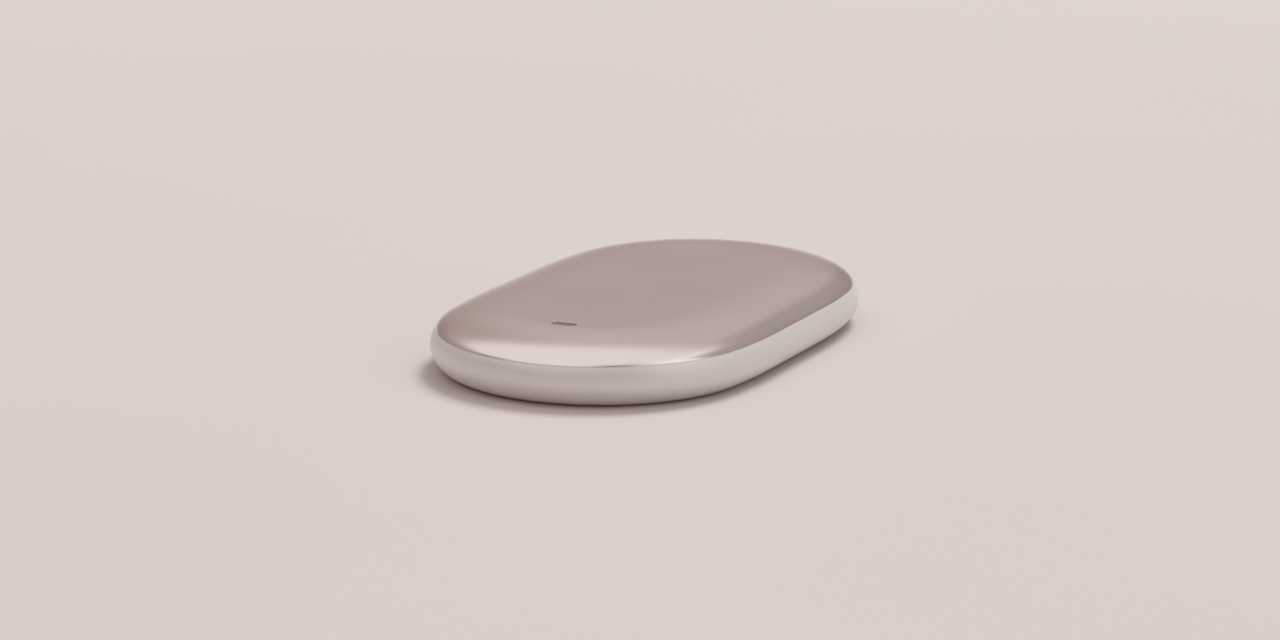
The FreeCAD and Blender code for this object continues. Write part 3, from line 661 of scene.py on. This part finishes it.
def build_floor():
    """Pale floor with an opening under the tag, so that its underside can be seen from below."""
    bm = bmesh.new()
    inset = girth + floor_overlap
    opening = [bm.verts.new((foot.x - out.x * inset, foot.y - out.y * inset, 0.0))
               for foot, out in outline_stations()]
    turns = [math.tau * step / floor_steps for step in range(floor_steps)]
    edge = [bm.verts.new((floor_radius * math.cos(turn), floor_radius * math.sin(turn), 0.0))
            for turn in turns]
    fill_flat(bm, [edge, opening])
    bmesh.ops.recalc_face_normals(bm, faces=bm.faces)
    if bm.faces[:][0].normal.z < 0:
        bmesh.ops.reverse_faces(bm, faces=bm.faces)
    mesh = bpy.data.meshes.new("floor")
    bm.to_mesh(mesh)
    bm.free()
    floor = bpy.data.objects.new("floor", mesh)
    bpy.context.scene.collection.objects.link(floor)
    floor.data.materials.append(floor_material())


def level_way(turn):
    """Level direction at a turn."""
    angle = camera_azimuth + math.radians(turn)
    return Vector((math.cos(angle), math.sin(angle), 0.0))


def raised_way(turn, height):
    """Direction at a turn and a height above the horizon."""
    height = math.radians(height)
    return level_way(turn) * math.cos(height) + Vector((0.0, 0.0, math.sin(height)))


def along(make, way, direction):
    """How far the direction of a ray lies along a fixed direction."""
    dot = make.tree.nodes.new("ShaderNodeVectorMath")
    dot.operation = "DOT_PRODUCT"
    make.tree.links.new(way, dot.inputs[0])
    dot.inputs[1].default_value = direction
    return dot.outputs["Value"]


def build_room():
    """Soft surroundings: a bright ceiling that leans to the picture's left, and warm walls."""
    world = bpy.data.worlds.new("room")
    bpy.context.scene.world = world
    world.use_nodes = True
    make = Nodes(world.node_tree)
    way = make.tree.nodes.new("ShaderNodeTexCoord").outputs["Generated"]
    height = along(make, way, Vector((0.0, 0.0, 1.0)))

    def beyond(turn, soft):
        """1 for directions anticlockwise of a turn, by up to half a turn, and 0 for the rest."""
        return make.spread(along(make, way, level_way(turn + 90.0)), 0.0, 1.0, -soft, soft)

    def patch(middle, limits, outside=0.0, inside=1.0):
        """A value inside a round patch and another outside it, with a soft edge."""
        return make.spread(along(make, way, raised_way(*middle)), outside, inside, *limits)

    # Walls: lighter towards the top, bright on the right, dark near the camera, dim on the left
    high = make.times(make.spread(height, 0.0, 1.0, *high_limits), beyond(high_turn, high_soft))
    walls = make.blend(high, wall_low, wall_high)
    walls = make.blend(patch(right_way, right_limits), walls, wall_right)
    walls = make.blend(patch(near_way, near_limits), walls, wall_near)
    left = make.times(beyond(left_turn, left_soft), make.spread(height, 1.0, 0.0, *left_limits))
    walls = make.blend(left, walls, wall_left)

    # Ceiling, and the part of it that reaches down on the camera's side
    colour = make.blend(patch(ceiling_way, ceiling_limits), walls, ceiling_colour)
    colour = make.blend(patch(front_way, front_limits), colour, ceiling_colour)

    # Dim corner beyond the bright wall
    corner = make.times(patch(edge_way, edge_limits), beyond(corner_turn, corner_soft))
    upright = patch(upright_way, upright_limits, 1.0, 0.0)
    shade = make.blend(make.spread(height, 0.0, 1.0, *high_limits), wall_corner_low, wall_corner)
    colour = make.blend(make.times(corner, upright), colour, shade)

    # The camera itself sees the floor's colour past the floor's edge
    from_camera = make.tree.nodes.new("ShaderNodeLightPath").outputs["Is Camera Ray"]
    seen = make.blend(from_camera, colour, floor_colour)
    light = make.add("ShaderNodeBackground", Color=seen, Strength=1.0)
    make.add("ShaderNodeOutputWorld", Surface=light.outputs[0])


def add_window():
    """Large soft window beyond the tag, which draws its shadow towards the camera."""
    data = bpy.data.lights.new("window", "AREA")
    data.shape = "SQUARE"
    data.size = window_size
    data.energy = window_power
    data.color = window_colour
    lamp = bpy.data.objects.new("window", data)
    away = raised_way(*window_way)
    lamp.location = away * window_distance
    lamp.rotation_mode = "QUATERNION"
    lamp.rotation_quaternion = away.to_track_quat("Z", "Y")
    lamp.visible_glossy = False
    bpy.context.scene.collection.objects.link(lamp)


def build_camera():
    """Camera at the photograph's place, turned about its own axis by the fitted roll."""
    data = bpy.data.cameras.new("camera")
    data.sensor_width = sensor_width
    data.lens = focal_pixels / frame_pixels * sensor_width
    data.clip_start = camera_near
    data.clip_end = camera_far
    camera = bpy.data.objects.new("camera", data)
    back = Vector((math.cos(camera_elevation) * math.cos(camera_azimuth),
                   math.cos(camera_elevation) * math.sin(camera_azimuth),
                   math.sin(camera_elevation)))
    camera.location = camera_target + back * camera_distance
    camera.rotation_mode = "QUATERNION"
    level = (-back).to_track_quat("-Z", "Y")
    camera.rotation_quaternion = level @ Quaternion((0.0, 0.0, 1.0), camera_roll)
    bpy.context.scene.collection.objects.link(camera)
    bpy.context.scene.camera = camera


pieces = [build_cover(), build_shell()]
dress_nodes(make_materials(), pieces)
build_floor()
build_room()
add_window()
build_camera()
bpy.context.scene.view_settings.view_transform = "Standard"
